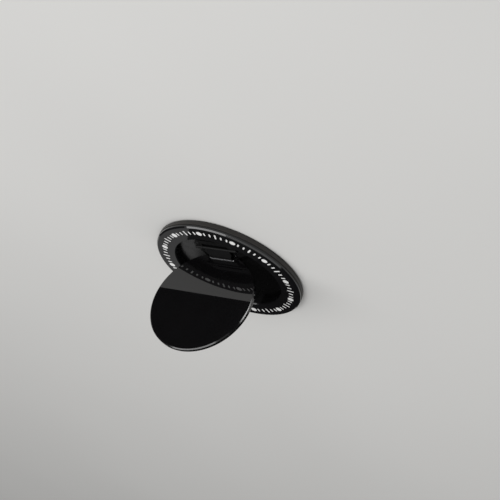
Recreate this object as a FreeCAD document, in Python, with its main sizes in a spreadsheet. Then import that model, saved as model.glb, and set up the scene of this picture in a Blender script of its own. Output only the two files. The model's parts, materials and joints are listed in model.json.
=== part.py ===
import FreeCAD, Part
import os

import Sketcher
from FreeCAD import Placement, Rotation, Vector

# Magnetic phone holder: a ring with a round well, and a disc that folds out of the well as a stand.
# Millimetres. The pad's phone face lies in z = 0, +Z points out of the phone, +X runs along the hinges
# and the disc stands open on the +Y side of the middle.

# Driving sizes: alias, value, meaning
SIZES = (
    ("disc_radius", "20.0", "stand disc, outside"),
    ("disc_thickness", "1.5", "stand disc, face to face"),
    ("disc_bevel", "0.5", "bevel round the disc's show face"),
    ("disc_back_bevel", "0.2", "bevel round the disc's back face"),
    ("disc_skin", "0.5", "disc left over the leaf's pocket"),
    ("disc_clearance", "0.25", "gap round the folded disc in the well"),
    ("flush_gap", "0.05", "folded disc below the bezel's face"),
    ("stand_offset", "7.0", "open disc's show face from the ring's axis"),
    ("pin_inset", "2.1", "disc pin's axis in from the disc's rim"),
    ("notch_flare", "1.5", "sideways slant of the notch's ends"),
    ("notch_bevel", "0.3", "bevel along the notch on the show face"),
    ("ear_chamfer", "0.5", "cut corners of the disc's hinge edge"),
    ("bezel_width", "7.75", "well's wall to the ring's outside"),
    ("bezel_setback", "0.1", "bezel's rim inside the lower tier"),
    ("bezel_bevel", "0.5", "bevel round the bezel's rim"),
    ("well_bevel", "0.4", "bevel round the well's mouth"),
    ("seam_height", "0.2", "shadow groove between the tiers"),
    ("seam_depth", "0.5", "depth of the shadow groove"),
    ("skirt_wall", "0.8", "well's wall"),
    ("pad_thickness", "0.3", "soft pad"),
    ("pad_setback", "0.5", "pad's edge inside the lower tier"),
    ("floor_thickness", "0.45", "well's floor"),
    ("foot_bevel", "0.2", "bevel under the lower tier"),
    ("housing_wall", "1.0", "lower tier's outer wall"),
    ("rib_width", "1.4", "rib that centres the magnets"),
    ("seat_clearance", "0.1", "gap beside glued-in pieces"),
    ("magnet_count", "18", "arc magnets round the ring"),
    ("magnet_height", "1.0", "arc magnet along the axis"),
    ("magnet_gap_angle", "1.0", "degrees between two magnets"),
    ("shunt_thickness", "0.2", "steel ring behind the magnets"),
    ("knuckle_radius", "0.65", "hinge knuckles, outside"),
    ("pin_radius", "0.35", "hinge pins"),
    ("pin_clearance", "0.03", "radial running gap round the pins"),
    ("bay_clearance", "0.1", "base knuckles above the pad"),
    ("bay_margin", "0.3", "floor's bay beyond the base knuckles"),
    ("fold_clearance", "0.1", "folded disc above the base knuckles"),
    ("stand_clearance", "0.1", "open disc above the floor"),
    ("leaf_thickness", "0.5", "hinge leaf"),
    ("leaf_width", "9.0", "leaf at the disc"),
    ("leaf_root_width", "10.6", "leaf at the bracket"),
    ("leaf_shoulder", "1.6", "narrow end of the leaf from its pin"),
    ("leaf_taper", "1.4", "length of the leaf's slanted shoulders"),
    ("side_clearance", "0.1", "gap beside each knuckle"),
    ("notch_gap", "0.25", "disc's notch round the leaf's knuckle"),
    ("pocket_margin", "0.25", "disc's pocket round the folded leaf"),
    ("ear_bearing", "3.1", "disc pin's length in each ear"),
    ("bracket_thickness", "0.4", "hinge bracket"),
    ("bracket_lobe", "3.2", "width of each bracket lobe"),
    ("bracket_reach", "2.2", "bracket's bridge from its pin"),
    ("bracket_bridge", "1.8", "width of the bracket's bridge"),
    ("bracket_chamfer", "2.0", "bracket's cut corners"),
    ("rivet_head_radius", "0.9", "bracket rivet's head"),
    ("rivet_head_height", "0.35", "bracket rivet's head"),
    ("rivet_radius", "0.5", "bracket rivet's shank"),
    ("rivet_clearance", "0.03", "radial gap round the rivet's shank"),
    ("rivet_reach", "2.0", "rivets from the bracket's pin"),
)

# Sizes that follow from the driving ones: alias, formula
DERIVED = (
    ("hole_radius", "disc_radius + disc_clearance"),
    ("ring_radius", "hole_radius + bezel_width"),
    ("bezel_radius", "ring_radius - bezel_setback"),
    ("skirt_radius", "hole_radius + skirt_wall"),
    ("rib_inner", "skirt_radius + seat_clearance"),
    ("rib_outer", "rib_inner + rib_width"),
    ("magnet_inner", "rib_outer + seat_clearance"),
    ("wall_inner", "ring_radius - housing_wall"),
    ("magnet_outer", "wall_inner - seat_clearance"),
    ("magnet_angle", "360 / magnet_count - magnet_gap_angle"),
    ("floor_top", "pad_thickness + floor_thickness"),
    ("magnet_top", "floor_top + magnet_height"),
    ("tier_top", "magnet_top + shunt_thickness"),
    ("base_pin_z", "pad_thickness + bay_clearance + knuckle_radius"),
    ("folded_disc_z", "base_pin_z + knuckle_radius + fold_clearance + disc_thickness / 2"),
    ("ring_height", "folded_disc_z + disc_thickness / 2 + flush_gap"),
    ("pin_reach", "disc_radius - pin_inset"),
    ("open_pin_y", "stand_offset - disc_thickness / 2"),
    ("open_pin_z", "floor_top + stand_clearance + disc_thickness / 2"),
    ("open_rise", "open_pin_z - base_pin_z"),
    ("folded_rise", "folded_disc_z - base_pin_z"),
    # The bracket's pin is as far from the open disc pin as from the folded one.
    ("base_pin_y", "(pin_reach ^ 2 + folded_rise ^ 2 - open_pin_y ^ 2 - open_rise ^ 2)"
                   " / (2 * (pin_reach - open_pin_y))"),
    ("leaf_run", "base_pin_y - open_pin_y"),
    ("leaf_length", "sqrt(leaf_run ^ 2 + open_rise ^ 2)"),
    ("bore_radius", "pin_radius + pin_clearance"),
    ("notch_half", "leaf_width / 2 + side_clearance"),
    ("notch_reach", "pin_reach - knuckle_radius - notch_gap"),
    ("pocket_half", "leaf_root_width / 2 + pocket_margin"),
    ("pocket_start", "pin_reach - leaf_length - knuckle_radius - pocket_margin"),
    ("lobe_inner", "leaf_root_width / 2 + side_clearance"),
    ("lobe_outer", "lobe_inner + bracket_lobe"),
    ("lobe_middle", "lobe_inner + bracket_lobe / 2"),
    ("bracket_depth", "bracket_reach + bracket_bridge"),
    ("rivet_hole", "rivet_radius + rivet_clearance"),
    ("bay_half", "knuckle_radius + bay_margin"),
)


def make_sheet(doc):
    """Spreadsheet of the driving sizes, with the derived ones below them."""
    sheet = doc.addObject("Spreadsheet::Sheet", "sizes")
    for row, (alias, size, meaning) in enumerate(SIZES, start=1):
        sheet.set(f"A{row}", meaning)
        sheet.set(f"B{row}", size)
        sheet.setAlias(f"B{row}", alias)
    for row, (alias, formula) in enumerate(DERIVED, start=len(SIZES) + 1):
        sheet.set(f"A{row}", alias.replace("_", " "))
        sheet.set(f"B{row}", f"={formula}")
        sheet.setAlias(f"B{row}", alias)
    doc.recompute()
    return sheet


doc = FreeCAD.newDocument("phone_holder")
sizes = make_sheet(doc)


def number(expression):
    """Present value of an expression of the sheet's sizes."""
    return float(sizes.evalExpression(expression))


def new_body(label):
    body = doc.addObject("PartDesign::Body", label)
    body.Label = label
    return body


def new_sketch(body, name, role, height=None):
    """Sketch on one of the body's origin planes, raised along its normal by an expression."""
    sketch = body.newObject("Sketcher::SketchObject", f"{body.Label}_{name}")
    plane = next(feature for feature in body.Origin.OriginFeatures if feature.Role == role)
    sketch.AttachmentSupport = [(plane, "")]
    sketch.MapMode = "FlatFace"
    if height is not None:
        sketch.setExpression("AttachmentOffset.Base.z", height)
    return sketch


def fix_point(sketch, geometry, position, point):
    """Tie a point of the sketch to its origin by two expressions."""
    for kind, expression in zip(("DistanceX", "DistanceY"), point):
        constraint = Sketcher.Constraint(kind, -1, 1, geometry, position, number(expression))
        index = sketch.addConstraint(constraint)
        sketch.setExpression(f"Constraints[{index}]", expression)


def draw_polygon(sketch, corners):
    """Closed outline whose corners are pairs of expressions."""
    points = [Vector(number(x), number(y), 0) for x, y in corners]
    first = sketch.GeometryCount
    edges = [first + step for step in range(len(points))]
    for start, end in zip(points, points[1:] + points[:1]):
        sketch.addGeometry(Part.LineSegment(start, end), False)
    for edge, following in zip(edges, edges[1:] + edges[:1]):
        sketch.addConstraint(Sketcher.Constraint("Coincident", edge, 2, following, 1))
    for edge, corner in zip(edges, corners):
        fix_point(sketch, edge, 1, corner)


def draw_circle(sketch, radius, centre=("0", "0")):
    middle = Vector(number(centre[0]), number(centre[1]), 0)
    edge = sketch.addGeometry(Part.Circle(middle, Vector(0, 0, 1), number(radius)), False)
    fix_point(sketch, edge, 3, centre)
    index = sketch.addConstraint(Sketcher.Constraint("Radius", edge, number(radius)))
    sketch.setExpression(f"Constraints[{index}]", radius)


def mirrored_outline(half):
    """Outline symmetric about the sketch's vertical axis, from its right-hand half."""
    return list(half) + [(f"-({x})", y) for x, y in reversed(half)]


def pad(body, sketch, length, symmetric=False):
    feature = body.newObject("PartDesign::Pad", f"{sketch.Name}_pad")
    feature.Profile = sketch
    feature.SideType = "Symmetric" if symmetric else "One side"
    feature.setExpression("Length", length)
    return feature


def cut_through(body, sketch):
    feature = body.newObject("PartDesign::Pocket", f"{sketch.Name}_cut")
    feature.Profile = sketch
    feature.SideType = "Symmetric"
    feature.Type = "ThroughAll"
    return feature


def cut_to_depth(body, sketch, depth):
    """Pocket along the sketch's normal, for a sketch that lies under the body."""
    feature = body.newObject("PartDesign::Pocket", f"{sketch.Name}_pocket")
    feature.Profile = sketch
    feature.Reversed = True
    feature.setExpression("Length", depth)
    return feature


def revolve(body, sketch):
    feature = body.newObject("PartDesign::Revolution", f"{sketch.Name}_turn")
    feature.Profile = sketch
    feature.ReferenceAxis = (sketch, ["V_Axis"])
    feature.Angle = 360
    return feature


def turned_body(label, profile):
    """Body turned about Z from a profile of radius and height expressions."""
    body = new_body(label)
    sketch = new_sketch(body, "profile", "XZ_Plane")
    draw_polygon(sketch, profile)
    revolve(body, sketch)
    return body


def bind_place(piece, x="0", y="0", z="0", rotation=Rotation()):
    piece.Placement = Placement(Vector(), rotation)
    for axis, expression in zip("xyz", (x, y, z)):
        piece.setExpression(f"Placement.Base.{axis}", expression)


def make_grip_pad():
    body = new_body("grip_pad")
    sketch = new_sketch(body, "outline", "XY_Plane")
    draw_circle(sketch, "sizes.ring_radius - sizes.pad_setback")
    pad(body, sketch, "sizes.pad_thickness")
    return body


def make_base_housing():
    """Lower tier: floor, outer wall and magnet rib in one moulding, with a bay for the knuckles."""
    body = turned_body("base_housing", (
        ("0", "sizes.pad_thickness"),
        ("sizes.ring_radius - sizes.foot_bevel", "sizes.pad_thickness"),
        ("sizes.ring_radius", "sizes.pad_thickness + sizes.foot_bevel"),
        ("sizes.ring_radius", "sizes.tier_top"),
        ("sizes.wall_inner", "sizes.tier_top"),
        ("sizes.wall_inner", "sizes.floor_top"),
        ("sizes.rib_outer", "sizes.floor_top"),
        ("sizes.rib_outer", "sizes.magnet_top"),
        ("sizes.rib_inner", "sizes.magnet_top"),
        ("sizes.rib_inner", "sizes.floor_top"),
        ("0", "sizes.floor_top"),
    ))
    bay = new_sketch(body, "bay", "XY_Plane")
    draw_polygon(bay, mirrored_outline((
        ("sizes.lobe_outer + sizes.bay_margin", "sizes.base_pin_y - sizes.bay_half"),
        ("sizes.lobe_outer + sizes.bay_margin", "sizes.base_pin_y + sizes.bay_half"),
    )))
    cut_through(body, bay)
    holes = new_sketch(body, "rivet_holes", "XY_Plane")
    draw_rivet_holes(holes)
    cut_through(body, holes)
    return body


def draw_rivet_holes(sketch):
    for side in ("", "-"):
        centre = (f"{side}sizes.lobe_middle", "sizes.base_pin_y + sizes.rivet_reach")
        draw_circle(sketch, "sizes.rivet_hole", centre)


def make_front_ring():
    """Bezel with a bevelled rim, a shadow groove under it and a skirt that walls the well."""
    return turned_body("front_ring", (
        ("sizes.hole_radius", "sizes.floor_top"),
        ("sizes.skirt_radius", "sizes.floor_top"),
        ("sizes.skirt_radius", "sizes.tier_top"),
        ("sizes.bezel_radius - sizes.seam_depth", "sizes.tier_top"),
        ("sizes.bezel_radius - sizes.seam_depth", "sizes.tier_top + sizes.seam_height"),
        ("sizes.bezel_radius", "sizes.tier_top + sizes.seam_height"),
        ("sizes.bezel_radius", "sizes.ring_height - sizes.bezel_bevel"),
        ("sizes.bezel_radius - sizes.bezel_bevel", "sizes.ring_height"),
        ("sizes.hole_radius + sizes.well_bevel", "sizes.ring_height"),
        ("sizes.hole_radius", "sizes.ring_height - sizes.well_bevel"),
    ))


def make_shunt_ring():
    body = new_body("shunt_ring")
    sketch = new_sketch(body, "outline", "XY_Plane", "sizes.magnet_top")
    draw_circle(sketch, "sizes.magnet_outer")
    draw_circle(sketch, "sizes.rib_inner")
    pad(body, sketch, "sizes.shunt_thickness")
    return body


def make_magnet(index):
    """One arc magnet: a sector of the ring channel."""
    label = f"magnet_{index + 1:02d}"
    sector = doc.addObject("Part::Cylinder", f"{label}_sector")
    core = doc.addObject("Part::Cylinder", f"{label}_core")
    for cylinder, radius in ((sector, "sizes.magnet_outer"), (core, "sizes.magnet_inner")):
        cylinder.setExpression("Radius", radius)
        cylinder.setExpression("Height", "sizes.magnet_height")
    sector.setExpression("Angle", "sizes.magnet_angle")
    magnet = doc.addObject("Part::Cut", label)
    magnet.Label = label
    magnet.Base = sector
    magnet.Tool = core
    bind_place(magnet, z="sizes.floor_top", rotation=Rotation(Vector(0, 0, 1), 1))
    magnet.setExpression("Placement.Rotation.Angle", f"{index} * 360 / sizes.magnet_count")
    return magnet


def make_hinge_bracket():
    """Stamped bracket on the well's floor: two lobes with knuckles, joined by a bridge."""
    body = new_body("hinge_bracket")
    plate = new_sketch(body, "plate", "XY_Plane", "sizes.floor_top")
    bridge = "sizes.base_pin_y + sizes.bracket_reach"
    back = "sizes.base_pin_y + sizes.bracket_depth"
    draw_polygon(plate, mirrored_outline((
        ("sizes.lobe_inner", bridge),
        ("sizes.lobe_inner", "sizes.base_pin_y"),
        ("sizes.lobe_outer", "sizes.base_pin_y"),
        ("sizes.lobe_outer", f"{back} - sizes.bracket_chamfer"),
        ("sizes.lobe_outer - sizes.bracket_chamfer", back),
    )))
    pad(body, plate, "sizes.bracket_thickness")
    axis = ("sizes.base_pin_y", "sizes.base_pin_z")
    for side, offset in (("right", "sizes.lobe_middle"), ("left", "-sizes.lobe_middle")):
        knuckle = new_sketch(body, f"{side}_knuckle", "YZ_Plane", offset)
        draw_circle(knuckle, "sizes.knuckle_radius", axis)
        pad(body, knuckle, "sizes.bracket_lobe", symmetric=True)
    bore = new_sketch(body, "bore", "YZ_Plane")
    draw_circle(bore, "sizes.bore_radius", axis)
    cut_through(body, bore)
    holes = new_sketch(body, "rivet_holes", "XY_Plane")
    draw_rivet_holes(holes)
    cut_through(body, holes)
    return body


def make_bracket_rivets():
    """Two cone-headed rivets, set down through the bracket's lobes and the floor."""
    head = doc.addObject("Part::Cone", "rivet_head")
    head.setExpression("Radius1", "sizes.rivet_head_radius")
    head.setExpression("Radius2", "sizes.rivet_radius")
    head.setExpression("Height", "sizes.rivet_head_height")
    shank = doc.addObject("Part::Cylinder", "rivet_shank")
    shank.setExpression("Radius", "sizes.rivet_radius")
    shank.setExpression("Height", "sizes.floor_thickness + sizes.bracket_thickness")
    spot = {"x": "sizes.lobe_middle", "y": "sizes.base_pin_y + sizes.rivet_reach"}
    bind_place(head, z="sizes.floor_top + sizes.bracket_thickness", **spot)
    bind_place(shank, z="sizes.pad_thickness", **spot)
    rivet = doc.addObject("Part::Fuse", "rivet")
    rivet.Base = head
    rivet.Tool = shank
    twin = doc.addObject("Part::Mirroring", "rivet_twin")
    twin.Source = rivet
    twin.Normal = Vector(1, 0, 0)
    pair = doc.addObject("Part::Compound", "bracket_rivets")
    pair.Label = "bracket_rivets"
    pair.Links = [rivet, twin]
    return pair


def make_pin(label, half_length, y, z):
    """Pin along X."""
    pin = doc.addObject("Part::Cylinder", label)
    pin.Label = label
    pin.setExpression("Radius", "sizes.pin_radius")
    pin.setExpression("Height", f"2 * ({half_length})")
    bind_place(pin, f"-({half_length})", y, z, Rotation(Vector(0, 1, 0), 90))
    return pin


def make_hinge_leaf():
    """Leaf with a knuckle at each end, drawn flat with the bracket's pin at its origin."""
    body = new_body("hinge_leaf")
    shoulder = "sizes.leaf_shoulder - sizes.leaf_length"
    plate = new_sketch(body, "plate", "XY_Plane", "-sizes.leaf_thickness / 2")
    draw_polygon(plate, mirrored_outline((
        ("sizes.leaf_root_width / 2", "0"),
        ("sizes.leaf_root_width / 2", f"{shoulder} + sizes.leaf_taper"),
        ("sizes.leaf_width / 2", shoulder),
        ("sizes.leaf_width / 2", "-sizes.leaf_length"),
    )))
    pad(body, plate, "sizes.leaf_thickness")
    ends = (("root", "0", "sizes.leaf_root_width"), ("tip", "-sizes.leaf_length", "sizes.leaf_width"))
    for name, reach, width in ends:
        knuckle = new_sketch(body, f"{name}_knuckle", "YZ_Plane")
        draw_circle(knuckle, "sizes.knuckle_radius", (reach, "0"))
        pad(body, knuckle, width, symmetric=True)
    bores = new_sketch(body, "bores", "YZ_Plane")
    for name, reach, width in ends:
        draw_circle(bores, "sizes.bore_radius", (reach, "0"))
    cut_through(body, bores)
    bind_place(body, y="sizes.base_pin_y", z="sizes.base_pin_z", rotation=Rotation(Vector(1, 0, 0), 1))
    body.setExpression("Placement.Rotation.Angle", "-atan(sizes.open_rise / sizes.leaf_run)")
    return body


def make_stand_disc():
    """Stand disc, drawn flat as it lies in the well: show face up, hinge edge towards +Y."""
    half = "sizes.disc_thickness / 2"
    body = turned_body("stand_disc", (
        ("0", f"-{half}"),
        ("sizes.disc_radius - sizes.disc_back_bevel", f"-{half}"),
        ("sizes.disc_radius", f"sizes.disc_back_bevel - {half}"),
        ("sizes.disc_radius", f"{half} - sizes.disc_bevel"),
        ("sizes.disc_radius - sizes.disc_bevel", half),
        ("0", half),
    ))
    nose = new_sketch(body, "hinge_edge", "YZ_Plane")
    tip = f"sizes.pin_reach + {half}"
    past = f"{tip} - sizes.ear_chamfer - {half}"
    draw_polygon(nose, (
        (past, "sizes.disc_thickness"),
        (tip, f"{half} - sizes.ear_chamfer"),
        (tip, f"sizes.ear_chamfer - {half}"),
        (past, "-sizes.disc_thickness"),
        ("2 * sizes.disc_radius", "-sizes.disc_thickness"),
        ("2 * sizes.disc_radius", "sizes.disc_thickness"),
    ))
    cut_through(body, nose)
    notch = new_sketch(body, "notch", "XY_Plane")
    draw_polygon(notch, mirrored_outline((
        ("sizes.notch_half", "sizes.notch_reach"),
        ("sizes.notch_half + sizes.notch_flare", tip),
        ("sizes.notch_half + sizes.notch_flare", "2 * sizes.disc_radius"),
    )))
    cut_through(body, notch)
    pocket = new_sketch(body, "leaf_pocket", "XY_Plane", f"-{half}")
    draw_polygon(pocket, mirrored_outline((
        ("sizes.pocket_half", "sizes.pocket_start"),
        ("sizes.pocket_half", "sizes.notch_reach"),
    )))
    cut_to_depth(body, pocket, "sizes.disc_thickness - sizes.disc_skin")
    bore = new_sketch(body, "bore", "YZ_Plane")
    draw_circle(bore, "sizes.bore_radius", ("sizes.pin_reach", "0"))
    cut = cut_centred(body, bore, "2 * (sizes.notch_half + sizes.ear_bearing + sizes.pin_clearance)")
    doc.recompute()
    lip = body.newObject("PartDesign::Chamfer", "stand_disc_notch_lip")
    lip.Base = (cut, notch_lip(cut.Shape))
    lip.setExpression("Size", "sizes.notch_bevel")
    bind_place(
        body, y="sizes.open_pin_y", z="sizes.open_pin_z + sizes.pin_reach",
        rotation=Rotation(Vector(1, 0, 0), -90))
    return body


def cut_centred(body, sketch, length):
    """Pocket of a given length, half to each side of its sketch."""
    feature = body.newObject("PartDesign::Pocket", f"{sketch.Name}_cut")
    feature.Profile = sketch
    feature.SideType = "Symmetric"
    feature.setExpression("Length", length)
    return feature


def notch_lip(shape):
    """Edges of the show face along the notch's bottom and up its slanted ends."""
    face = number("sizes.disc_thickness / 2")
    corner = Vector(number("sizes.notch_half"), number("sizes.notch_reach"), face)
    names = []
    for index, edge in enumerate(shape.Edges, start=1):
        ends = [Vector(abs(vertex.X), vertex.Y, vertex.Z) for vertex in edge.Vertexes]
        level = all(abs(end.z - face) < 1e-6 for end in ends)
        if level and any(end.distanceToPoint(corner) < 1e-6 for end in ends):
            names.append(f"Edge{index}")
    return names


def make_parts():
    parts = [make_grip_pad(), make_base_housing(), make_front_ring(), make_shunt_ring()]
    parts += [make_magnet(index) for index in range(int(number("sizes.magnet_count")))]
    parts += [make_hinge_bracket(), make_bracket_rivets()]
    parts.append(make_pin("base_pin", "sizes.lobe_outer", "sizes.base_pin_y", "sizes.base_pin_z"))
    parts.append(make_hinge_leaf())
    disc_pin_half = "sizes.notch_half + sizes.ear_bearing"
    parts.append(make_pin("disc_pin", disc_pin_half, "sizes.open_pin_y", "sizes.open_pin_z"))
    parts.append(make_stand_disc())
    return parts


def check_document(parts):
    """Stop on any object that failed and on any sub-part without a sound shape."""
    for item in doc.Objects:
        if "Invalid" in item.State or "Error" in item.State:
            raise RuntimeError(f"{item.Label} did not build: {item.State}")
    for part in parts:
        if part.Shape.isNull() or not part.Shape.isValid() or not part.Shape.Solids:
            raise RuntimeError(f"{part.Label} has no sound solid")


def write_parts(parts):
    os.makedirs("parts", exist_ok=True)
    for part in parts:
        part.Shape.exportStep(f"parts/{part.Label}.step")


def main():
    parts = make_parts()
    doc.recompute()
    check_document(parts)
    write_parts(parts)


main()
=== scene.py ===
"""Magnetic phone holder: a ring with a round well, and a glossy disc that folds out of it as a stand.

The packed solids are the frame. Each piece that shows gets a fine mesh and a finish of its own here.
"""
import json
import math

import bmesh
import bpy
from bpy.props import FloatProperty, FloatVectorProperty, IntProperty, PointerProperty
from mathutils import Matrix, Vector


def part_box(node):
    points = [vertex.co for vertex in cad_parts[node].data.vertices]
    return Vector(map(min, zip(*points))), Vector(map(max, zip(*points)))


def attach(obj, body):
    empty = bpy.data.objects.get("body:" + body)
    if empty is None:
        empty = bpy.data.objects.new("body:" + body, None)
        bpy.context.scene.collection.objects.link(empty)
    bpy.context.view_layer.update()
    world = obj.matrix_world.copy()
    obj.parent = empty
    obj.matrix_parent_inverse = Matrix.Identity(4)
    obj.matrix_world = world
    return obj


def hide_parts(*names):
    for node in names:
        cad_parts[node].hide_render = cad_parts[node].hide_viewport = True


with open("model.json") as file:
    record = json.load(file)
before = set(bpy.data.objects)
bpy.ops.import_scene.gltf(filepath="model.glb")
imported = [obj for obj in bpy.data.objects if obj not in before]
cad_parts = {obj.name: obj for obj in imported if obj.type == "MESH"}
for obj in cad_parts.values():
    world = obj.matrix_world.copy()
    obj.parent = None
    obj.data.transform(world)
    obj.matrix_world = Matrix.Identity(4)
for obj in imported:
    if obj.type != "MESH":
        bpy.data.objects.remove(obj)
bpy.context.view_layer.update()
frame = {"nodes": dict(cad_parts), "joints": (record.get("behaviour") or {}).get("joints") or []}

bl_info = {
    "name": "Phone Holder Finish",
    "version": (1, 0, 0),
    "blender": (4, 5, 0),
    "location": "View3D > Sidebar > Holder",
    "description": "Makes the visible pieces, finishes and studio of a magnetic phone holder",
    "category": "Object",
}

MM = 0.001
MILLIWATTS_PER_WATT = 1000
FULL_TURN = 2 * math.pi
QUARTER_TURN = math.pi / 2

# Steps round a large form, a knuckle, a small form, a rounded corner and a mark's round end
TURN_STEPS = 256
KNUCKLE_STEPS = 64
SMALL_STEPS = 48
ARC_STEPS = 6
END_STEPS = 18

# Rounding of a prism's rims, and the point beside a rounded corner as a share of the corner's tangent
RIM_SEGMENTS = 3
RIM_PROFILE = 0.5
SUPPORT_SHARE = 0.25
MERGE_DISTANCE = 1e-7
SHARP_ANGLE = math.radians(32)

# Slopes that the disc's cut bevel lies between, and the reach of the leaf's worn end in knuckle radii
BEVEL_SLOPE = (0.2, 0.97)
WORN_REACH = 1.2

# Middle range of a noise, which a finish stretches to its own range
NOISE_RANGE = (0.3, 0.7)

# Camera's sensor in millimetres, and the nearest point that it sees in metres
SENSOR_WIDTH = 36
CLIP_START = 0.01

# Softboxes: width and height, and place, in metres
KEY_SIZE, KEY_PLACE = (0.90, 0.25), (-0.14, 0.40, 0.52)
FILL_SIZE, FILL_PLACE = (0.62, 0.42), (0.17, 0.04, 0.52)

# Slim lamp beside the disc: its size, its place and aim from the side of the rim, and its spread
KICKER_SIZE = (0.0011, 0.019)
KICKER_PLACE = Vector((0.0077, 0.0063, -0.0020))
KICKER_AIM = Vector((0, 0, 0.0012))
KICKER_SPREAD = math.radians(50)

# Cards of the stage: half width and half length, place in metres and turn in radians
CARDS = (
    ("front_flag", 0.300, 0.150, (0, 0.189, 0.0002), (0, 0, 0)),
    ("back_flag", 0.088, 0.050, (0.037, -0.045, 0.050), (QUARTER_TURN, 0, 0)),
    ("left_flag", 0.125, 0.170, (-0.30, -0.03, 0.145), (0, QUARTER_TURN, 0)),
    ("camera_flag", 0.150, 0.120, (0.42, 0.48, 0.16), (math.radians(76), 0, math.radians(139))),
)

# Places that the frame gives, in metres
PAD_LOW, PAD_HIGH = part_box("grip_pad")
TIER_LOW, TIER_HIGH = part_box("base_housing")
RING_LOW, RING_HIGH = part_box("front_ring")
DISC_LOW, DISC_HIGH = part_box("stand_disc")
LEAF_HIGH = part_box("hinge_leaf")[1]
BRACKET_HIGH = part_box("hinge_bracket")[1]
RIVETS_LOW, RIVETS_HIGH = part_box("bracket_rivets")
BASE_PIN_LOW, BASE_PIN_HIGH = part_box("base_pin")
DISC_PIN_LOW, DISC_PIN_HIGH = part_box("disc_pin")
MAGNET_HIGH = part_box("magnet_01")[1]
PIVOTS = {joint["name"]: Vector(joint["pos_m"]) for joint in frame["joints"]}
BASE_PIVOT = PIVOTS["leaf_flip"]
DISC_PIVOT = PIVOTS["disc_fold"]


def radial_span(node):
    """Smallest and largest distance of a packed node's points from the ring's axis."""
    distances = [vertex.co.xy.length for vertex in frame["nodes"][node].data.vertices]
    return min(distances), max(distances)


WELL_RADIUS, BEZEL_RADIUS = radial_span("front_ring")
MAGNET_INNER = radial_span("magnet_01")[0]


def length(name, description, millimetres):
    return FloatProperty(
        name=name, description=description, default=millimetres * MM, unit="LENGTH", precision=5)


def colour(name, description, value):
    return FloatVectorProperty(
        name=name, description=description, default=value, subtype="COLOR", size=3, min=0, max=1)


def amount(name, description, value):
    return FloatProperty(name=name, description=description, default=value, min=0)


class HolderBezel(bpy.types.PropertyGroup):
    """Glossy ring round the well"""
    rim_bevel: length("Rim bevel", "Bevel round the ring's outer edge", 0.5)
    mouth_bevel: length("Mouth bevel", "Bevel round the well's mouth", 0.4)
    seam_height: length("Seam height", "Shadow groove between the two tiers", 0.2)
    seam_depth: length("Seam depth", "How far the shadow groove goes in", 0.5)
    skirt_wall: length("Skirt wall", "Wall of the well", 0.8)
    edge_round: length("Edge round", "Polished rounding of the bevels' edges", 0.1)
    colour: colour("Colour", "Body colour of the gloss plastic", (0.0055, 0.0055, 0.006))
    roughness: amount("Roughness", "Mean roughness of the polish", 0.07)
    face_index: amount("Face index", "Refractive index of the face and the well's wall", 1.34)
    rim_index: amount("Rim index", "Refractive index of the harder polish on the rim", 1.54)


class HolderHousing(bpy.types.PropertyGroup):
    """Satin lower tier with the well's floor"""
    floor_thickness: length("Floor", "Thickness of the well's floor", 0.45)
    foot_bevel: length("Foot bevel", "Bevel under the tier", 0.2)
    outer_wall: length("Outer wall", "Wall outside the magnets", 1.0)
    magnet_gap: length("Magnet gap", "Room beside the magnets", 0.1)
    rib_width: length("Rib", "Rib inside the magnets", 1.4)
    bay_margin: length("Bay margin", "Room round the knuckles in the floor", 0.3)
    edge_round: length("Edge round", "Moulded rounding of the tier's edges", 0.12)
    colour: colour("Colour", "Body colour of the satin plastic", (0.017, 0.0148, 0.013))
    roughness: amount("Roughness", "Mean roughness of the moulding", 0.45)
    # Floor colour: black, darkened further as painted shade inside the well
    floor_colour: colour("Floor colour", "Colour of the well's floor", (0.0015, 0.0015, 0.0016))
    floor_roughness: amount("Floor roughness", "Mean roughness of the well's floor", 0.22)


class HolderPad(bpy.types.PropertyGroup):
    """Soft pad that meets the phone"""
    edge_round: length("Edge round", "Rounding of the pad's edge", 0.1)
    colour: colour("Colour", "Colour of the rubber", (0.028, 0.028, 0.03))
    roughness: amount("Roughness", "Mean roughness of the rubber", 0.72)


class HolderDisc(bpy.types.PropertyGroup):
    """Mirror-polished stand disc"""
    rim_bevel: length("Rim bevel", "Cut bevel of the show face", 0.36)
    back_round: length("Back round", "Rounded edge of the back", 0.2)
    notch_bevel: length("Notch bevel", "Cut bevel along the notch", 0.3)
    edge_round: length("Edge round", "Rounding of the bevel's edges", 0.05)
    notch_half: length("Notch half width", "Half of the notch for the leaf", 4.6)
    notch_flare: length("Notch flare", "Sideways slant of the notch's ends", 1.5)
    notch_depth: length("Notch depth", "Notch from the hinge edge", 1.65)
    corner_round: length("Corner round", "Corners of the ears and the pocket", 0.25)
    pocket_half: length("Pocket half width", "Half of the leaf's pocket on the back", 5.55)
    pocket_length: length("Pocket length", "Leaf's pocket along the disc", 5.93)
    skin: length("Skin", "Disc left over the pocket", 0.5)
    colour: colour("Colour", "Body colour of the mirror plastic", (0.004, 0.0038, 0.0042))
    roughness: amount("Roughness", "Mean roughness of the polish", 0.025)
    cut_roughness: amount("Cut roughness", "Mean roughness of the cut bevel", 0.13)


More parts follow.
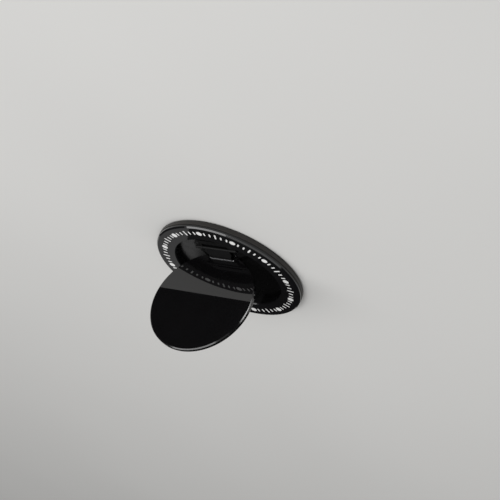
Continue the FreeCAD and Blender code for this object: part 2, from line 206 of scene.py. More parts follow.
class HolderHinge(bpy.types.PropertyGroup):
    """Coated leaf, bracket and rivets, bare pins and plated magnets"""
    knuckle_radius: length("Knuckle", "Outside radius of the knuckles", 0.65)
    pin_gap: length("Pin gap", "Running gap round the pins", 0.03)
    leaf_thickness: length("Leaf", "Thickness of the leaf", 0.5)
    leaf_width: length("Leaf width", "Leaf at the disc", 9.0)
    leaf_shoulder: length("Leaf shoulder", "Narrow end of the leaf from its pin", 1.6)
    leaf_taper: length("Leaf taper", "Length of the slanted shoulders", 1.4)
    bracket_thickness: length("Bracket", "Thickness of the bracket", 0.4)
    bracket_lobe: length("Bracket lobe", "Width of each lobe", 3.2)
    bracket_bridge: length("Bracket bridge", "Width of the bridge between the lobes", 1.8)
    bracket_chamfer: length("Bracket corners", "Cut corners of the bracket", 2.0)
    corner_round: length("Corner round", "Stamped corners", 0.3)
    edge_round: length("Edge round", "Deburred edges", 0.07)
    rivet_radius: length("Rivet", "Shank of the rivets", 0.5)
    rivet_head: length("Rivet head", "Head of the rivets", 0.9)
    # Coating colour: black, darkened further as painted shade of the well
    colour: colour("Colour", "Colour of the coating", (0.002, 0.002, 0.0021))
    steel: colour("Steel", "Colour of the bare pins", (0.34, 0.34, 0.35))
    nickel: colour("Nickel", "Colour of the plated magnets", (0.6, 0.59, 0.56))


class HolderPrint(bpy.types.PropertyGroup):
    """White scale printed round the bezel"""
    middle_radius: length("Middle", "Middle of the printed band", 24.5)
    thickness: length("Ink", "Height of the ink on the bezel", 0.012)
    dots: IntProperty(name="Dots", description="Dots round the band", default=12, min=3)
    ticks: IntProperty(name="Ticks", description="Ticks between two dots", default=5, min=1)
    dot_radius: length("Dot", "Radius of the dots", 1.1)
    tick_width: length("Tick width", "Stroke of the ticks", 0.6)
    tick_length: length("Tick length", "Length of the short ticks", 1.7)
    long_tick: length("Long tick", "Length of the middle tick", 2.6)
    colour: colour("Colour", "Colour of the ink", (0.80, 0.80, 0.79))


class HolderStage(bpy.types.PropertyGroup):
    """Floor, light and camera"""
    floor_size: length("Floor", "Side of the floor", 4000)
    floor_gap: length("Floor gap", "Floor below the pad", 0.05)
    floor_colour: colour("Floor colour", "Colour of the pale floor", (0.60, 0.596, 0.583))
    sky: amount("Sky", "Brightness of the surrounding studio", 0.4)
    key_power: amount("Key", "Watts of the wide softbox in front", 3.1)
    fill_power: amount("Fill", "Watts of the weak softbox overhead", 0.65)
    kicker_power: amount("Kicker", "Milliwatts of the slim lamp beside the disc", 0.069)
    dark: amount("Dark", "Glow of the dark cards", 0.015)
    aim: FloatVectorProperty(
        name="Aim", description="Point in the middle of the picture", subtype="TRANSLATION", unit="LENGTH",
        size=3, precision=5, default=(13.964 * MM, 12.643 * MM, 0))
    distance: length("Distance", "Camera from that point", 467.3)
    azimuth: FloatProperty(
        name="Azimuth", description="Camera's direction from +X towards +Y", subtype="ANGLE",
        default=math.radians(53.64))
    elevation: FloatProperty(
        name="Elevation", description="Camera's height above the floor", subtype="ANGLE",
        default=math.radians(25.18))
    roll: FloatProperty(
        name="Roll", description="Camera's turn about its own axis", subtype="ANGLE",
        default=math.radians(154.68))
    lens: FloatProperty(
        name="Lens", description="Focal length on a 36 mm sensor", default=97.11, unit="CAMERA")


def link_piece(name, form):
    """Object of a finished bmesh, smooth but for its real edges."""
    bmesh.ops.remove_doubles(form, verts=form.verts, dist=MERGE_DISTANCE)
    bmesh.ops.recalc_face_normals(form, faces=form.faces)
    mesh = bpy.data.meshes.new(name)
    form.to_mesh(mesh)
    form.free()
    piece = bpy.data.objects.new(name, mesh)
    bpy.context.scene.collection.objects.link(piece)
    smooth_faces(mesh)
    return piece


def smooth_faces(mesh):
    mesh.polygons.foreach_set("use_smooth", [True] * len(mesh.polygons))
    mesh.set_sharp_from_angle(angle=SHARP_ANGLE)


def finish_piece(piece, body, slot, finishes, *nodes):
    """Give a piece its finishes and its body, in place of the packed nodes that it stands for."""
    piece.data.materials.clear()
    for finish in finishes:
        piece.data.materials.append(finish)
    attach(piece, body)
    if nodes:
        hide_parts(*nodes)


def round_corners(corners, closed=True):
    """Outline of (x, y, rounding) corners, with each rounded corner made an arc."""
    points = []
    last = len(corners) - 1
    for index, (x, y, rounding) in enumerate(corners):
        corner = Vector((x, y))
        at_end = not closed and index in (0, last)
        if at_end or rounding == 0:
            points.append(corner)
            continue
        before = (Vector(corners[index - 1][:2]) - corner).normalized()
        after = (Vector(corners[(index + 1) % len(corners)][:2]) - corner).normalized()
        half = before.angle(after) / 2
        centre = corner + (before + after).normalized() * rounding / math.sin(half)
        tangent = rounding / math.tan(half)
        start = corner + before * tangent - centre
        end = corner + after * tangent - centre
        support = tangent * SUPPORT_SHARE
        points.append(centre + start + before * support)
        spokes = [start.slerp(end, step / ARC_STEPS).normalized() for step in range(ARC_STEPS + 1)]
        points += [centre + spoke * rounding for spoke in spokes]
        points.append(centre + end + after * support)
    return points


def add_turned(form, corners, closed=True, axis_x=False, steps=TURN_STEPS):
    """Add a profile of (radius, height, rounding) corners, turned about Z or along X."""
    outline = round_corners(corners, closed)
    verts = [form.verts.new((point.x, 0, point.y)) for point in outline]
    pairs = list(zip(verts, verts[1:]))
    if closed:
        pairs.append((verts[-1], verts[0]))
    edges = [form.edges.new(pair) for pair in pairs]
    old = set(form.verts) - set(verts)
    bmesh.ops.spin(form, geom=verts + edges, axis=(0, 0, 1), angle=FULL_TURN, steps=steps, use_merge=True)
    new = [vert for vert in form.verts if vert not in old]
    if axis_x:
        bmesh.ops.rotate(form, matrix=Matrix.Rotation(QUARTER_TURN, 3, "Y"), verts=new)
    bmesh.ops.remove_doubles(form, verts=new, dist=MERGE_DISTANCE)


def turned_piece(name, corners, closed=True, axis_x=False, steps=TURN_STEPS):
    form = bmesh.new()
    add_turned(form, corners, closed, axis_x, steps)
    return link_piece(name, form)


def add_prism(form, outline, low, high, edge_round=0):
    """Add an upright prism of a flat outline, with its rims rounded."""
    floor = [form.verts.new((point.x, point.y, low)) for point in outline]
    roof = [form.verts.new((point.x, point.y, high)) for point in outline]
    form.faces.new(reversed(floor))
    form.faces.new(roof)
    for index, vert in enumerate(floor):
        form.faces.new((floor[index - 1], vert, roof[index], roof[index - 1]))
    if edge_round:
        rims = [edge for edge in form.edges if edge_in_ring(edge, floor) or edge_in_ring(edge, roof)]
        bmesh.ops.bevel(
            form, geom=rims, offset=edge_round, segments=RIM_SEGMENTS, profile=RIM_PROFILE,
            affect="EDGES", clamp_overlap=True)


def edge_in_ring(edge, ring):
    return edge.verts[0] in ring and edge.verts[1] in ring


def prism_piece(name, outline, low, high, edge_round=0):
    form = bmesh.new()
    add_prism(form, outline, low, high, edge_round)
    return link_piece(name, form)


def mirrored(half):
    """Corners on both sides of the vertical axis, from those on its right."""
    return list(half) + [(-x, y, rounding) for x, y, rounding in reversed(half)]


def combine(piece, tool, operation):
    """Boolean of two pieces, kept on the first. The second goes."""
    modifier = piece.modifiers.new("combine", "BOOLEAN")
    modifier.operation = operation
    modifier.solver = "EXACT"
    modifier.object = tool
    graph = bpy.context.evaluated_depsgraph_get()
    old = piece.data
    piece.data = bpy.data.meshes.new_from_object(piece.evaluated_get(graph))
    piece.modifiers.clear()
    piece.data.name = piece.name
    bpy.data.objects.remove(tool)
    bpy.data.meshes.remove(old)
    if not piece.data.polygons:
        raise RuntimeError(f"Nothing is left of {piece.name}")
    smooth_faces(piece.data)


def shade(colour, factor):
    return tuple(channel * factor for channel in colour)


class Finish:
    """A Principled material and the few nodes that vary it over the surface."""

    def __init__(self, name, colour, roughness, **sockets):
        self.material = bpy.data.materials.new(name)
        self.material.use_nodes = True
        self.tree = self.material.node_tree
        self.shader = self.tree.nodes["Principled BSDF"]
        self.set(self.shader, {"Base Color": (*colour, 1), "Roughness": roughness, **sockets})
        self.place = self.node("ShaderNodeTexCoord").outputs["Object"]

    def set(self, node, values):
        for socket, value in values.items():
            node.inputs[socket].default_value = value

    def node(self, kind, **values):
        node = self.tree.nodes.new(kind)
        self.set(node, values)
        return node

    def join(self, output, node, socket):
        self.tree.links.new(output, node.inputs[socket])

    def noise(self, size, detail=3.0, stretch=None):
        """Noise whose blotches are about the given size, longer along an axis if it is stretched."""
        noise = self.node("ShaderNodeTexNoise", Scale=1 / size, Detail=detail)
        place = self.place
        if stretch:
            mapping = self.node("ShaderNodeMapping", Scale=stretch)
            self.join(place, mapping, "Vector")
            place = mapping.outputs["Vector"]
        self.join(place, noise, "Vector")
        return noise.outputs["Fac"]

    def spread(self, source, low, high):
        """A noise's middle range stretched to run between two values."""
        start, end = NOISE_RANGE
        limits = {"From Min": start, "From Max": end, "To Min": low, "To Max": high}
        span = self.node("ShaderNodeMapRange", **limits)
        self.join(source, span, "Value")
        return span.outputs["Result"]

    def vary_roughness(self, source, low, high):
        self.join(self.spread(source, low, high), self.shader, "Roughness")

    def vary_colour(self, source, colour, dark, light):
        """A colour that runs with a noise between two shades, given as factors."""
        ramp = self.node("ShaderNodeValToRGB")
        for index, factor in enumerate((dark, light)):
            element = ramp.color_ramp.elements[index]
            element.position = NOISE_RANGE[index]
            element.color = (*shade(colour, factor), 1)
        self.join(source, ramp, "Fac")
        self.join(ramp.outputs["Color"], self.shader, "Base Color")

    def emboss(self, source, depth, strength):
        bump = self.node("ShaderNodeBump", Strength=strength, Distance=depth)
        self.join(source, bump, "Height")
        self.join(bump.outputs["Normal"], self.shader, "Normal")


def polished_plastic(name, settings, index):
    """Injection-moulded gloss black, with faint smears in the polish and a trace of orange peel."""
    finish = Finish(name, settings.colour, settings.roughness, IOR=index)
    smears = finish.noise(size=5 * MM, detail=4.0, stretch=(1.0, 1.6, 1.0))
    finish.vary_roughness(smears, low=settings.roughness * 0.7, high=settings.roughness * 1.4)
    finish.vary_colour(finish.noise(size=9 * MM), settings.colour, dark=0.9, light=1.1)
    finish.emboss(finish.noise(size=1.6 * MM, detail=1.0), depth=0.002 * MM, strength=0.4)
    return finish.material


def satin_plastic(settings):
    """Fine spark-eroded grain of a satin moulding."""
    finish = Finish("housing_satin", settings.colour, settings.roughness, IOR=1.48)
    grain = finish.noise(size=0.16 * MM, detail=4.0)
    finish.vary_roughness(grain, low=settings.roughness - 0.08, high=settings.roughness + 0.08)
    finish.vary_colour(finish.noise(size=2.5 * MM), settings.colour, dark=0.88, light=1.12)
    finish.emboss(grain, depth=0.012 * MM, strength=0.5)
    return finish.material


def mirror_plastic(settings):
    """Mirror-polished black with hardly visible wiping marks."""
    finish = Finish("disc_mirror", settings.colour, settings.roughness, IOR=1.68)
    wiping = finish.noise(size=3 * MM, detail=5.0, stretch=(0.5, 1.0, 2.2))
    finish.vary_roughness(wiping, low=settings.roughness * 0.5, high=settings.roughness * 1.6)
    finish.vary_colour(finish.noise(size=8 * MM), settings.colour, dark=0.9, light=1.1)
    return finish.material


def painted_shade_plastic(settings):
    """Floor of the well: black plastic, made darker than the tier as painted shade of the recess, polished
    but a little dull.
    """
    roughness = settings.floor_roughness
    finish = Finish("well_floor_painted_shade", settings.floor_colour, roughness, IOR=1.42)
    dulling = finish.noise(size=2.2 * MM, detail=4.0)
    finish.vary_roughness(dulling, low=roughness * 0.8, high=roughness * 1.25)
    finish.vary_colour(finish.noise(size=6 * MM), settings.floor_colour, dark=0.9, light=1.1)
    finish.emboss(finish.noise(size=0.3 * MM, detail=2.0), depth=0.002 * MM, strength=0.4)
    return finish.material


def cut_bevel(settings):
    """Bevel of the disc, with the faint lines of the cutter left in its polish."""
    roughness = settings.cut_roughness
    finish = Finish("cut_bevel", settings.colour, roughness, IOR=1.52)
    lines = finish.noise(size=0.06 * MM, detail=2.0)
    finish.vary_roughness(lines, low=roughness * 0.75, high=roughness * 1.3)
    finish.vary_colour(lines, settings.colour, dark=0.9, light=1.2)
    return finish.material


def worn_steel(settings):
    """Knuckle whose coating has rubbed through to dark steel."""
    finish = Finish("worn_knuckle", shade(settings.steel, factor=0.18), roughness=0.3, Metallic=1.0)
    rubbing = finish.noise(size=0.25 * MM, detail=4.0, stretch=(0.3, 1.0, 1.0))
    finish.vary_roughness(rubbing, low=0.24, high=0.44)
    finish.vary_colour(rubbing, settings.steel, dark=0.1, light=0.26)
    return finish.material


def pad_rubber(settings):
    """Matt silicone with a fine leathery skin."""
    finish = Finish("pad_rubber", settings.colour, settings.roughness, IOR=1.42)
    skin = finish.noise(size=0.35 * MM, detail=5.0)
    finish.vary_roughness(skin, low=settings.roughness - 0.1, high=settings.roughness + 0.1)
    finish.vary_colour(finish.noise(size=4 * MM), settings.colour, dark=0.85, light=1.15)
    finish.emboss(skin, depth=0.03 * MM, strength=0.6)
    return finish.material


def painted_shade_coating(settings):
    """Black coated sheet steel with a fine powder grain, made darker still as painted shade of the well
    that it sits in.
    """
    finish = Finish("hinge_coating_painted_shade", settings.colour, roughness=0.5, IOR=1.28)
    grain = finish.noise(size=0.12 * MM, detail=4.0)
    finish.vary_roughness(grain, low=0.42, high=0.58)
    finish.vary_colour(finish.noise(size=0.9 * MM, detail=5.0), settings.colour, dark=0.8, light=1.5)
    finish.emboss(grain, depth=0.006 * MM, strength=0.5)
    return finish.material


def drawn_steel(settings):
    """Bare steel with fine lines along its length."""
    finish = Finish("drawn_steel", settings.steel, roughness=0.3, Metallic=1.0)
    lines = finish.noise(size=0.05 * MM, stretch=(0.04, 1.0, 1.0))
    finish.vary_roughness(lines, low=0.22, high=0.42)
    finish.vary_colour(lines, settings.steel, dark=0.85, light=1.15)
    finish.emboss(lines, depth=0.002 * MM, strength=0.4)
    return finish.material


def nickel_plate(settings):
    """Plated magnets with the soft mottling of a tumbled plating."""
    finish = Finish("nickel_plate", settings.nickel, roughness=0.24, Metallic=1.0)
    mottle = finish.noise(size=0.5 * MM, detail=4.0)
    finish.vary_roughness(mottle, low=0.16, high=0.34)
    finish.vary_colour(finish.noise(size=1.8 * MM), settings.nickel, dark=0.9, light=1.08)
    finish.emboss(mottle, depth=0.004 * MM, strength=0.4)
    return finish.material


def screen_ink(settings):
    """White ink with the slight mottling of a screen print."""
    finish = Finish("print_ink", settings.colour, roughness=0.45, IOR=1.5)
    mottle = finish.noise(size=0.18 * MM)
    finish.vary_roughness(mottle, low=0.36, high=0.54)
    finish.vary_colour(mottle, settings.colour, dark=0.94, light=1.04)
    finish.emboss(mottle, depth=0.004 * MM, strength=0.4)
    return finish.material


def studio_floor(settings):
    """Pale matt board."""
    finish = Finish("studio_floor", settings.floor_colour, roughness=1.0, IOR=1.0)
    cloud = finish.noise(size=140 * MM, detail=1.0)
    finish.vary_colour(cloud, settings.floor_colour, dark=0.985, light=1.015)
    return finish.material


def stage_glow(name, strength):
    """Plain emitter for a card of the stage."""
    material = bpy.data.materials.new(name)
    material.use_nodes = True
    tree = material.node_tree
    tree.nodes.clear()
    glow = tree.nodes.new("ShaderNodeEmission")
    glow.inputs["Strength"].default_value = strength
    output = tree.nodes.new("ShaderNodeOutputMaterial")
    tree.links.new(glow.outputs["Emission"], output.inputs["Surface"])
    return material


class HOLDER_OT_bezel(bpy.types.Operator):
    """Make the glossy bezel with its bevelled rim, shadow groove and the wall of the well"""
    bl_idname = "holder.bezel"
    bl_label = "Bezel"

    def execute(self, context):
        settings = context.scene.holder_bezel
        face = RING_HIGH.z
        seam_top = TIER_HIGH.z + settings.seam_height
        seam_wall = BEZEL_RADIUS - settings.seam_depth
        skirt = WELL_RADIUS + settings.skirt_wall
        rim_start = BEZEL_RADIUS - settings.rim_bevel
        soft = settings.edge_round
        fine = soft / 2
        bezel = turned_piece("bezel", (
            (WELL_RADIUS, RING_LOW.z, 0),
            (skirt, RING_LOW.z, 0),
            (skirt, TIER_HIGH.z, 0),
            (seam_wall, TIER_HIGH.z, 0),
            (seam_wall, seam_top, 0),
            (BEZEL_RADIUS, seam_top, fine),
            (BEZEL_RADIUS, face - settings.rim_bevel, soft),
            (rim_start, face, soft),
            (WELL_RADIUS + settings.mouth_bevel, face, fine),
            (WELL_RADIUS, face - settings.mouth_bevel, fine),
        ))
        face_gloss = polished_plastic("bezel_gloss", settings, settings.face_index)
        rim_gloss = polished_plastic("rim_gloss", settings, settings.rim_index)
        finish_piece(bezel, "base", "bezel", [face_gloss, rim_gloss], "front_ring")
        for polygon in bezel.data.polygons:
            polygon.material_index = int(polygon.center.xy.length > rim_start)
        return {"FINISHED"}


class HOLDER_OT_housing(bpy.types.Operator):
    """Make the satin lower tier with the well's floor, the magnet channel and the knuckles' bay"""
    bl_idname = "holder.housing"
    bl_label = "Lower tier"

    def execute(self, context):
        settings = context.scene.holder_housing
        hinge = context.scene.holder_hinge
        radius = TIER_HIGH.x
        bottom = TIER_LOW.z
        floor = bottom + settings.floor_thickness
        wall = radius - settings.outer_wall
        rib = MAGNET_INNER - settings.magnet_gap
        rib_top = MAGNET_HIGH.z
        soft = settings.edge_round
        housing = turned_piece("lower_tier", (
            (0, bottom, 0),
            (radius - settings.foot_bevel, bottom, soft / 2),
            (radius, bottom + settings.foot_bevel, soft / 2),
            (radius, TIER_HIGH.z, soft),
            (wall, TIER_HIGH.z, 0),
            (wall, floor, 0),
            (rib, floor, 0),
            (rib, rib_top, 0),
            (rib - settings.rib_width, rib_top, 0),
            (rib - settings.rib_width, floor, 0),
            (0, floor, 0),
        ), closed=False)
        margin = settings.bay_margin
        reach = hinge.knuckle_radius + margin
        half = BRACKET_HIGH.x + margin
        bay = mirrored((
            (half, BASE_PIVOT.y - reach, margin),
            (half, BASE_PIVOT.y + reach, margin),
        ))
        above = floor + margin
        below = bottom - margin
        combine(housing, prism_piece("bay", round_corners(bay), below, above), "DIFFERENCE")
        for centre in rivet_centres(hinge):
            hole = turned_piece("rivet_hole", (
                (0, below, 0),
                (hinge.rivet_radius + hinge.pin_gap, below, 0),
                (hinge.rivet_radius + hinge.pin_gap, above, 0),
                (0, above, 0),
            ), closed=False, steps=SMALL_STEPS)
            hole.data.transform(Matrix.Translation((centre.x, centre.y, 0)))
            combine(housing, hole, "DIFFERENCE")
        finishes = [satin_plastic(settings), painted_shade_plastic(settings)]
        finish_piece(housing, "base", "housing", finishes, "base_housing")
        # The well's floor takes the finish darkened as painted shade
        for face in housing.data.polygons:
            in_painted_shade_floor = face.center.xy.length < rib - settings.rib_width
            face.material_index = int(in_painted_shade_floor and face.center.z > bottom + MERGE_DISTANCE)
        return {"FINISHED"}


class HOLDER_OT_pad(bpy.types.Operator):
    """Make the soft pad under the lower tier"""
    bl_idname = "holder.pad"
    bl_label = "Grip pad"

    def execute(self, context):
        settings = context.scene.holder_pad
        pad = turned_piece("grip_pad_skin", (
            (0, PAD_LOW.z, 0),
            (PAD_HIGH.x, PAD_LOW.z, settings.edge_round),
            (PAD_HIGH.x, PAD_HIGH.z, settings.edge_round),
            (0, PAD_HIGH.z, 0),
        ), closed=False)
        finish_piece(pad, "base", "pad", [pad_rubber(settings)], "grip_pad")
        return {"FINISHED"}


class HOLDER_OT_disc(bpy.types.Operator):
    """Make the mirror-polished disc with its cut bevel, the notch and the leaf's pocket"""
    bl_idname = "holder.disc"
    bl_label = "Stand disc"

    def execute(self, context):
        settings = context.scene.holder_disc
        half = (DISC_HIGH.y - DISC_LOW.y) / 2
        form = bmesh.new()
        rings = [self.ring(form, settings, *level) for level in self.levels(settings, half)]
        for lower, upper in zip(rings, rings[1:]):
            for index, vert in enumerate(lower):
                form.faces.new((lower[index - 1], vert, upper[index], upper[index - 1]))
        form.faces.new(reversed(rings[0]))
        form.faces.new(rings[-1])
        disc = link_piece("stand_plate", form)
        combine(disc, self.pocket(settings, half), "DIFFERENCE")
        finish_piece(disc, "stand", "disc", [mirror_plastic(settings), cut_bevel(settings)], "stand_disc")
        for face in disc.data.polygons:
            face.material_index = int(BEVEL_SLOPE[0] < face.normal.z < BEVEL_SLOPE[1])
        centre = Vector((0, (DISC_LOW.y + DISC_HIGH.y) / 2, DISC_HIGH.z - DISC_HIGH.x))
        disc.data.transform(Matrix.Translation(centre) @ Matrix.Rotation(-QUARTER_TURN, 4, "X"))
        return {"FINISHED"}

    def hinge_edge(self):
        """Straight edge of the flat disc, from its middle."""
        return DISC_HIGH.z - DISC_HIGH.x - DISC_LOW.z

    def levels(self, settings, half):
        """Inset and height of each outline of the flat disc, from its back to its show face."""
        bevel = settings.rim_bevel
        inside = 2 * bevel
        return round_corners((
            (inside, -half, 0),
            (0, -half, settings.back_round),
            (0, half - bevel, settings.edge_round),
            (bevel, half, settings.edge_round),
            (inside, half, 0),
        ), closed=False)

    def ring(self, form, settings, inset, height):
        """Outline of the flat disc at one height, drawn in along the rim and less along the notch."""
        radius = DISC_HIGH.x - inset
        edge = self.hinge_edge() - inset
        notch_inset = inset * settings.notch_bevel / settings.rim_bevel
        half = settings.notch_half + notch_inset
        wide = half + settings.notch_flare
        bottom = self.hinge_edge() - settings.notch_depth - notch_inset
        corner = settings.corner_round
        start = math.asin(edge / radius)
        sweep = math.pi + 2 * start
        shoulder = radius * math.cos(start)
        rim = []
        for step in range(1, TURN_STEPS):
            angle = start - sweep * step / TURN_STEPS
            rim.append((radius * math.cos(angle), radius * math.sin(angle), 0))
        corners = rim + [
            (-shoulder, edge, corner),
            (-wide, edge, corner),
            (-half, bottom, settings.edge_round),
            (half, bottom, settings.edge_round),
            (wide, edge, corner),
            (shoulder, edge, corner),
        ]
        return [form.verts.new((point.x, point.y, height)) for point in round_corners(corners)]

    def pocket(self, settings, half):
        """Room for the folded leaf, open to the back and into the notch."""
        bottom = self.hinge_edge() - settings.notch_depth
        corner = settings.corner_round
        outline = mirrored((
            (settings.pocket_half, bottom - settings.pocket_length, corner),
            (settings.pocket_half, bottom + settings.edge_round, corner),
        ))
        below = -2 * half
        roof = half - settings.skin
        return prism_piece("pocket", round_corners(outline), below, roof)


class HOLDER_OT_leaf(bpy.types.Operator):
    """Make the short hinge leaf with a knuckle at each end"""
    bl_idname = "holder.leaf"
    bl_label = "Hinge leaf"

    def execute(self, context):
        settings = context.scene.holder_hinge
        reach = (DISC_PIVOT - BASE_PIVOT).length
        root_half = LEAF_HIGH.x
        tip_half = settings.leaf_width / 2
        shoulder = settings.leaf_shoulder - reach
        corner = settings.corner_round
        outline = mirrored((
            (root_half, 0, 0),
            (root_half, shoulder + settings.leaf_taper, corner),
            (tip_half, shoulder, corner),
            (tip_half, -reach, 0),
        ))
        half = settings.leaf_thickness / 2
        leaf = prism_piece("flip_leaf", round_corners(outline), -half, half, settings.edge_round)
        for place, knuckle_half in ((0, root_half), (-reach, tip_half)):
            knuckle = knuckle_piece(settings, knuckle_half)
            knuckle.data.transform(Matrix.Translation((0, place, 0)))
            combine(leaf, knuckle, "UNION")
        for place in (0, -reach):
            bore = bore_piece(settings, 2 * root_half)
            bore.data.transform(Matrix.Translation((0, place, 0)))
            combine(leaf, bore, "DIFFERENCE")
        run = DISC_PIVOT - BASE_PIVOT
        tilt = Matrix.Rotation(math.atan2(-run.z, -run.y), 4, "X")
        leaf.data.transform(Matrix.Translation(BASE_PIVOT) @ tilt)
        finishes = [painted_shade_coating(settings), worn_steel(settings)]
        finish_piece(leaf, "link", "hinge", finishes, "hinge_leaf")
        worn = WORN_REACH * settings.knuckle_radius
        for face in leaf.data.polygons:
            face.material_index = int((face.center - DISC_PIVOT).yz.length < worn)
        return {"FINISHED"}


class HOLDER_OT_bracket(bpy.types.Operator):
    """Make the stamped bracket with its two knuckles, and the rivets that hold it"""
    bl_idname = "holder.bracket"
    bl_label = "Hinge bracket"

    def execute(self, context):
        settings = context.scene.holder_hinge
        floor = TIER_LOW.z + context.scene.holder_housing.floor_thickness
        lobe_outer = BRACKET_HIGH.x
        lobe_inner = lobe_outer - settings.bracket_lobe
        back = BRACKET_HIGH.y
        corner = settings.corner_round
        outline = mirrored((
            (lobe_inner, back - settings.bracket_bridge, corner),
            (lobe_inner, BASE_PIVOT.y, 0),
            (lobe_outer, BASE_PIVOT.y, 0),
            (lobe_outer, back - settings.bracket_chamfer, corner),
            (lobe_outer - settings.bracket_chamfer, back, corner),
        ))
        top = floor + settings.bracket_thickness
        bracket = prism_piece("bracket_plate", round_corners(outline), floor, top, settings.edge_round)
        middle = (lobe_inner + lobe_outer) / 2
        for side in (-middle, middle):
            knuckle = knuckle_piece(settings, settings.bracket_lobe / 2)
            knuckle.data.transform(Matrix.Translation((side, BASE_PIVOT.y, BASE_PIVOT.z)))
            combine(bracket, knuckle, "UNION")
        bore = bore_piece(settings, 2 * lobe_outer)
        bore.data.transform(Matrix.Translation((0, BASE_PIVOT.y, BASE_PIVOT.z)))
        combine(bracket, bore, "DIFFERENCE")
        coating = painted_shade_coating(settings)
        finish_piece(bracket, "base", "hinge", [coating], "hinge_bracket")
        finish_piece(self.rivets(settings, top), "base", "hinge", [coating], "bracket_rivets")
        return {"FINISHED"}

    def rivets(self, settings, top):
        """Two rivets with domed heads on the bracket."""
        form = bmesh.new()
        head = settings.rivet_head
        height = RIVETS_HIGH.z - top
        dome = [(head * math.cos(angle), top + height * math.sin(angle), 0)
                for angle in (QUARTER_TURN * step / ARC_STEPS for step in range(ARC_STEPS))]
        shank = settings.rivet_radius
        profile = [(0, RIVETS_LOW.z, 0), (shank, RIVETS_LOW.z, 0), (shank, top, 0)]
        for centre in rivet_centres(settings):
            old = set(form.verts)
            add_turned(form, profile + dome + [(0, RIVETS_HIGH.z, 0)], closed=False, steps=SMALL_STEPS)
            new = [vert for vert in form.verts if vert not in old]
            bmesh.ops.translate(form, verts=new, vec=(centre.x, centre.y, 0))
        return link_piece("rivet_pair", form)


class HOLDER_OT_pins(bpy.types.Operator):
    """Make the two bare steel hinge pins"""
    bl_idname = "holder.pins"
    bl_label = "Hinge pins"

    def execute(self, context):
        settings = context.scene.holder_hinge
        steel = drawn_steel(settings)
        rows = (
            ("base_hinge_pin", BASE_PIN_LOW, BASE_PIN_HIGH, "base", "base_pin"),
            ("disc_hinge_pin", DISC_PIN_LOW, DISC_PIN_HIGH, "stand", "disc_pin"),
        )
        for name, low, high, body, node in rows:
            radius = (high.z - low.z) / 2
            half = (high.x - low.x) / 2
            end_round = radius / 4
            pin = turned_piece(name, (
                (0, -half, 0),
                (radius, -half, end_round),
                (radius, half, end_round),
                (0, half, 0),
            ), closed=False, axis_x=True, steps=SMALL_STEPS)
            pin.data.transform(Matrix.Translation((low + high) / 2))
            finish_piece(pin, body, "steel", [steel], node)
        return {"FINISHED"}


class HOLDER_OT_magnets(bpy.types.Operator):
    """Finish the sealed magnets and the steel ring behind them"""
    bl_idname = "holder.magnets"
    bl_label = "Magnets"

    def execute(self, context):
        settings = context.scene.holder_hinge
        nickel = nickel_plate(settings)
        for name, node in frame["nodes"].items():
            if name.startswith("magnet_"):
                cover_node(node, nickel)
        cover_node(frame["nodes"]["shunt_ring"], drawn_steel(settings))
        return {"FINISHED"}


class HOLDER_OT_print(bpy.types.Operator):
    """Print the white scale of dots and ticks round the bezel"""
    bl_idname = "holder.print_scale"
    bl_label = "Printed scale"

    def execute(self, context):
        settings = context.scene.holder_print
        form = bmesh.new()
        low = RING_HIGH.z
        high = low + settings.thickness
        marks = settings.dots * (settings.ticks + 1)
        for mark in range(marks):
            turn = Matrix.Rotation(FULL_TURN * mark / marks, 2)
            outline = self.mark_outline(settings, mark % (settings.ticks + 1))
            add_prism(form, [turn @ point for point in outline], low, high)
        finish_piece(link_piece("bezel_scale", form), "base", "print", [screen_ink(settings)])
        return {"FINISHED"}

    def mark_outline(self, settings, place):
        """Dot at the start of each group, then round-ended ticks, with the middle one longer."""
        if place == 0:
            wide = tall = settings.dot_radius
        else:
            in_middle = 2 * place == settings.ticks + 1
            tick_length = settings.long_tick if in_middle else settings.tick_length
            wide = settings.tick_width / 2
            tall = tick_length / 2
        outline = []
        for end in (1, -1):
            centre = settings.middle_radius + end * (tall - wide)
            for step in range(END_STEPS):
                angle = math.pi * ((step + 0.5) / END_STEPS - 0.5)
                outwards = centre + end * wide * math.cos(angle)
                outline.append(Vector((outwards, end * wide * math.sin(angle))))
        return outline


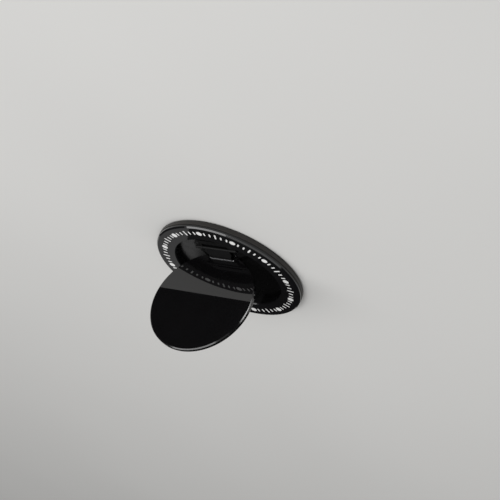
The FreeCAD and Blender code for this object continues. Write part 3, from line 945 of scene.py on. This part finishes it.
class HOLDER_OT_stage(bpy.types.Operator):
    """Set up the pale floor, the soft light and the camera"""
    bl_idname = "holder.stage"
    bl_label = "Stage"

    def execute(self, context):
        settings = context.scene.holder_stage
        half = settings.floor_size / 2
        floor = card_piece("studio_floor", half, half, studio_floor(settings))
        floor.location.z = -settings.floor_gap
        self.cards(settings)
        self.lights(context, settings)
        self.camera(context, settings)
        context.scene.view_settings.view_transform = "Standard"
        return {"FINISHED"}

    def cards(self, settings):
        """Cards that only reflections meet: the dark studio beyond the lit board."""
        dark = stage_glow("dark_card", settings.dark)
        for name, half_width, half_length, place, turn in CARDS:
            card = card_piece(name, half_width, half_length, dark)
            card.location = place
            card.rotation_euler = turn
            only_reflected(card)

    def lights(self, context, settings):
        """Two softboxes, the slim lamp beside the disc and the even light of the studio."""
        area_lamp("front_softbox", settings.key_power, KEY_SIZE, KEY_PLACE)
        area_lamp("top_softbox", settings.fill_power, FILL_SIZE, FILL_PLACE)
        rim = Vector((DISC_HIGH.x, DISC_HIGH.y, DISC_HIGH.z - DISC_HIGH.x))
        power = settings.kicker_power / MILLIWATTS_PER_WATT
        kicker = area_lamp("rim_kicker", power, KICKER_SIZE, rim + KICKER_PLACE, rim + KICKER_AIM)
        kicker.shape = "ELLIPSE"
        kicker.spread = KICKER_SPREAD
        world = bpy.data.worlds.new("studio_air")
        world.use_nodes = True
        backdrop = world.node_tree.nodes["Background"]
        backdrop.inputs["Color"].default_value = (1, 1, 1, 1)
        backdrop.inputs["Strength"].default_value = settings.sky
        context.scene.world = world

    def camera(self, context, settings):
        """Camera at the photograph's viewing angle, with its roll."""
        data = bpy.data.cameras.new("photo_camera")
        data.sensor_width = SENSOR_WIDTH
        data.lens = settings.lens
        data.clip_start = CLIP_START
        camera = bpy.data.objects.new("photo_camera", data)
        context.scene.collection.objects.link(camera)
        level = Vector((math.cos(settings.azimuth), math.sin(settings.azimuth), 0))
        away = level * math.cos(settings.elevation)
        away.z = math.sin(settings.elevation)
        right = Vector((0, 0, 1)).cross(away).normalized()
        up = away.cross(right)
        facing = Matrix((right, up, away)).transposed().to_4x4()
        place = Matrix.Translation(Vector(settings.aim) + away * settings.distance)
        camera.matrix_world = place @ facing @ Matrix.Rotation(-settings.roll, 4, "Z")
        context.scene.camera = camera


def rivet_centres(settings):
    """Middle of each rivet on the bracket's lobes."""
    across = RIVETS_HIGH.x - settings.rivet_head
    along = (RIVETS_LOW.y + RIVETS_HIGH.y) / 2
    return [Vector((side * across, along, 0)) for side in (-1, 1)]


def knuckle_piece(settings, half):
    """Solid barrel along X with deburred ends."""
    radius = settings.knuckle_radius
    return turned_piece("knuckle", (
        (0, -half, 0),
        (radius, -half, settings.edge_round),
        (radius, half, settings.edge_round),
        (0, half, 0),
    ), closed=False, axis_x=True, steps=KNUCKLE_STEPS)


def bore_piece(settings, half):
    """Hole along X that a pin turns in."""
    radius = (BASE_PIN_HIGH.z - BASE_PIN_LOW.z) / 2 + settings.pin_gap
    return turned_piece("bore", (
        (0, -half, 0),
        (radius, -half, 0),
        (radius, half, 0),
        (0, half, 0),
    ), closed=False, axis_x=True, steps=SMALL_STEPS)


def cover_node(node, material):
    """Put a finish on a packed node that stays."""
    node.data.materials.clear()
    node.data.materials.append(material)


def card_piece(name, half_width, half_length, material):
    """Flat card of the stage."""
    form = bmesh.new()
    corners = [(-half_width, -half_length), (half_width, -half_length),
               (half_width, half_length), (-half_width, half_length)]
    form.faces.new([form.verts.new((x, y, 0)) for x, y in corners])
    card = link_piece(name, form)
    card.data.materials.append(material)
    return card


def only_reflected(card):
    """Hide a card from all but reflections."""
    card.visible_camera = False
    card.visible_diffuse = False
    card.visible_transmission = False
    card.visible_volume_scatter = False
    card.visible_shadow = False


def area_lamp(name, power, size, place, target=(0, 0, 0)):
    """Rectangular lamp that faces a target, by default the middle of the pad."""
    data = bpy.data.lights.new(name, "AREA")
    data.shape = "RECTANGLE"
    data.size, data.size_y = size
    data.energy = power
    lamp = bpy.data.objects.new(name, data)
    bpy.context.scene.collection.objects.link(lamp)
    lamp.location = place
    lamp.rotation_euler = (Vector(place) - Vector(target)).to_track_quat("Z", "Y").to_euler()
    lamp.visible_camera = False
    return data


STEPS = (
    HOLDER_OT_housing,
    HOLDER_OT_bezel,
    HOLDER_OT_pad,
    HOLDER_OT_disc,
    HOLDER_OT_leaf,
    HOLDER_OT_bracket,
    HOLDER_OT_pins,
    HOLDER_OT_magnets,
    HOLDER_OT_print,
    HOLDER_OT_stage,
)

GROUPS = {
    "holder_bezel": HolderBezel,
    "holder_housing": HolderHousing,
    "holder_pad": HolderPad,
    "holder_disc": HolderDisc,
    "holder_hinge": HolderHinge,
    "holder_print": HolderPrint,
    "holder_stage": HolderStage,
}


class HOLDER_PT_panel(bpy.types.Panel):
    """Sizes and steps of the phone holder"""
    bl_label = "Phone holder"
    bl_idname = "HOLDER_PT_panel"
    bl_space_type = "VIEW_3D"
    bl_region_type = "UI"
    bl_category = "Holder"

    def draw(self, context):
        for step in STEPS:
            self.layout.operator(step.bl_idname)
        for name, group in GROUPS.items():
            section = self.layout.box()
            section.label(text=group.__doc__)
            for field in group.__annotations__:
                section.prop(getattr(context.scene, name), field)


CLASSES = (*GROUPS.values(), *STEPS, HOLDER_PT_panel)


def register():
    for item in CLASSES:
        bpy.utils.register_class(item)
    for name, group in GROUPS.items():
        setattr(bpy.types.Scene, name, PointerProperty(type=group))


def unregister():
    for name in GROUPS:
        delattr(bpy.types.Scene, name)
    for item in reversed(CLASSES):
        bpy.utils.unregister_class(item)


def main():
    register()
    for step in STEPS:
        family, action = step.bl_idname.split(".")
        getattr(getattr(bpy.ops, family), action)()
    bpy.context.view_layer.update()


if __name__ == "__main__":
    main()
